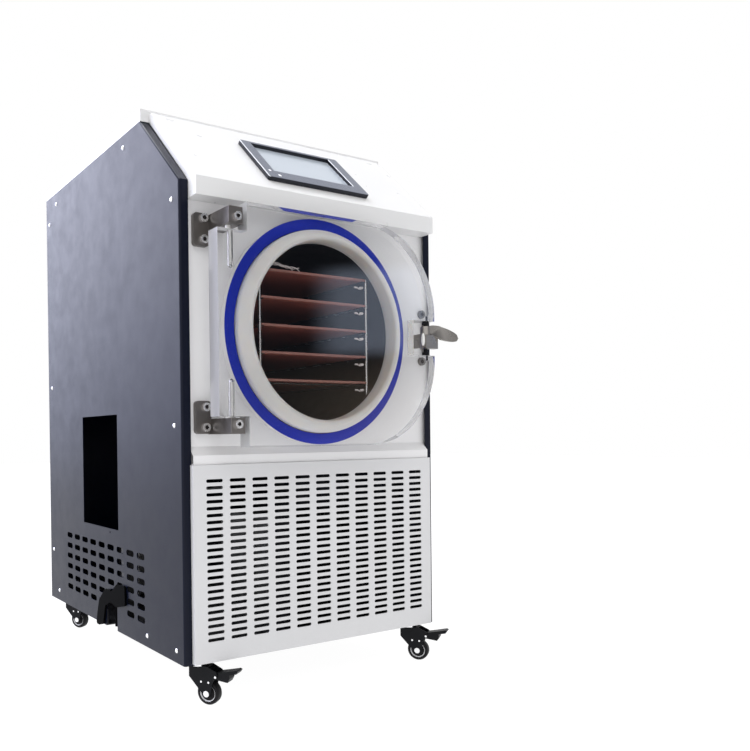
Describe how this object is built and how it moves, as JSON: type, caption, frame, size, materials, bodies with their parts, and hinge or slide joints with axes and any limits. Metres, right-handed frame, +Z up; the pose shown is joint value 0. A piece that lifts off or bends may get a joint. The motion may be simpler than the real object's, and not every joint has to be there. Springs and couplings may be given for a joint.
{
  "type": "freeze dryer",
  "caption": "Floor-standing laboratory freeze dryer with a round vacuum chamber, hinged clear door, heated shelves, sloped touch panel, slotted front and casters.",
  "frame": {"origin": "on the floor, at the middle of the footprint's box", "axes": "+Z up, the door faces -Y, +X to the right of someone facing the door"},
  "size_m": [0.7169, 0.9722, 1.285],
  "materials": {
    "navy_paint": "satin fine-texture powder coat",
    "white_paint": "semi-gloss powder coat",
    "grey_paint": "satin light grey powder coat",
    "black_paint": "satin black",
    "stainless": "brushed",
    "zinc_steel": "zinc plated",
    "bright_screw": "bright plated",
    "bare_aluminium": "mill finish",
    "copper_shelf": "copper-brown anodised plate",
    "heater_silicone": "orange-red silicone mat",
    "cream_silicone": "translucent cream silicone",
    "blue_silicone": "glossy blue silicone",
    "foam_black": "closed-cell foam",
    "clear_acrylic": "polished clear acrylic",
    "screen": "matt display film",
    "bezel_plastic": "fine texture",
    "black_plastic": "moulded nylon",
    "wheel_tread": "smooth polyurethane tread",
    "red_plastic": "glossy"
  },
  "bodies": {
    "cabinet": {"base_tray": "black_paint", "frame_left": "black_paint", "frame_right": "black_paint", "cross_rails": "black_paint", "side_panel_left": "navy_paint", "side_panel_right": "navy_paint", "back_panel": "navy_paint", "top_cover": "white_paint", "control_hood": "white_paint", "front_panel": "grey_paint", "vent_panel": "grey_paint", "chamber_shell": "stainless", "chamber_flange": "stainless", "door_gasket": "cream_silicone", "blue_ring": "blue_silicone", "insulation": "foam_black", "shelf_rack": "stainless", "shelf_1": "copper_shelf", "shelf_2": "copper_shelf", "shelf_3": "copper_shelf", "shelf_4": "copper_shelf", "shelf_5": "copper_shelf", "heater_mats": "heater_silicone", "compressor": "black_paint", "condenser": "bare_aluminium", "fan_shroud": "black_paint", "fan_motor": "zinc_steel", "electric_box": "grey_paint", "vacuum_pipe": "stainless", "drain_pipe": "zinc_steel", "power_inlet": "black_plastic", "hmi_bezel": "bezel_plastic", "hmi_screen": "screen", "hinge_arm_top": "stainless", "hinge_arm_bottom": "stainless", "hinge_block_top": "stainless", "hinge_block_bottom": "stainless", "hinge_pins": "stainless", "hinge_screws": "bright_screw", "latch_keeper": "stainless", "keeper_screws": "bright_screw", "panel_screws": "bright_screw", "drain_valve_body": "black_plastic", "caster_plates": "black_plastic"},
    "door": {"door_plate": "clear_acrylic", "latch_pin": "black_plastic"},
    "lever": {"latch_lever": "stainless"},
    "drain": {"drain_handle": "black_plastic"},
    "rocker": {"power_switch": "red_plastic"},
    "fan": {"fan_blades": "bare_aluminium"},
    "swivel_front_left": {"fork_front_left": "black_plastic"},
    "rolling_front_left": {"wheel_front_left": "wheel_tread"},
    "swivel_front_right": {"fork_front_right": "black_plastic"},
    "rolling_front_right": {"wheel_front_right": "wheel_tread"},
    "swivel_rear_left": {"fork_rear_left": "black_plastic"},
    "rolling_rear_left": {"wheel_rear_left": "wheel_tread"},
    "swivel_rear_right": {"fork_rear_right": "black_plastic"},
    "rolling_rear_right": {"wheel_rear_right": "wheel_tread"},
    "brake_left": {"pedal_left": "black_plastic"},
    "brake_right": {"pedal_right": "black_plastic"}
  },
  "joints": [
    {"name": "door_swing", "type": "hinge", "parent": "cabinet", "child": "door", "pos_m": [-0.271, -0.44191, 0.784], "axis": [0, 0, -1], "range_deg": [0, 110]},
    {"name": "latch_turn", "type": "hinge", "parent": "door", "child": "lever", "pos_m": [0.264, -0.45091, 0.779], "axis": [0, 0, -1], "range_deg": [0, 90]},
    {"name": "drain_turn", "type": "hinge", "parent": "cabinet", "child": "drain", "pos_m": [-0.356, -0.00891, 0.167], "axis": [1, 0, 0], "range_deg": [0, 90]},
    {"name": "power_rocker", "type": "hinge", "parent": "cabinet", "child": "rocker", "pos_m": [-0.22, 0.44709, 0.255], "axis": [1, 0, 0], "range_deg": [0, 16]},
    {"name": "fan_spin", "type": "hinge", "parent": "cabinet", "child": "fan", "pos_m": [0.09, -0.26091, 0.242], "axis": [0, 1, 0], "continuous": true},
    {"name": "swivel_front_left", "type": "hinge", "parent": "cabinet", "child": "swivel_front_left", "pos_m": [-0.299, -0.34791, 0.078], "axis": [0, 0, 1], "continuous": true},
    {"name": "roll_front_left", "type": "hinge", "parent": "swivel_front_left", "child": "rolling_front_left", "pos_m": [-0.28469, -0.3708, 0.025], "axis": [0.848, 0.5299, 0], "continuous": true},
    {"name": "swivel_front_right", "type": "hinge", "parent": "cabinet", "child": "swivel_front_right", "pos_m": [0.299, -0.34791, 0.078], "axis": [0, 0, 1], "continuous": true},
    {"name": "roll_front_right", "type": "hinge", "parent": "swivel_front_right", "child": "rolling_front_right", "pos_m": [0.31331, -0.3708, 0.025], "axis": [0.848, 0.5299, 0], "continuous": true},
    {"name": "swivel_rear_left", "type": "hinge", "parent": "cabinet", "child": "swivel_rear_left", "pos_m": [-0.299, 0.41009, 0.078], "axis": [0, 0, 1], "continuous": true},
    {"name": "roll_rear_left", "type": "hinge", "parent": "swivel_rear_left", "child": "rolling_rear_left", "pos_m": [-0.28469, 0.3872, 0.025], "axis": [0.848, 0.5299, 0], "continuous": true},
    {"name": "swivel_rear_right", "type": "hinge", "parent": "cabinet", "child": "swivel_rear_right", "pos_m": [0.299, 0.41009, 0.078], "axis": [0, 0, 1], "continuous": true},
    {"name": "roll_rear_right", "type": "hinge", "parent": "swivel_rear_right", "child": "rolling_rear_right", "pos_m": [0.31331, 0.3872, 0.025], "axis": [0.848, 0.5299, 0], "continuous": true},
    {"name": "brake_left", "type": "hinge", "parent": "swivel_front_left", "child": "brake_left", "pos_m": [-0.27356, -0.38861, 0.062], "axis": [0.848, 0.5299, 0], "range_deg": [0, 12]},
    {"name": "brake_right", "type": "hinge", "parent": "swivel_front_right", "child": "brake_right", "pos_m": [0.32444, -0.38861, 0.062], "axis": [0.848, 0.5299, 0], "range_deg": [0, 12]}
  ]
}
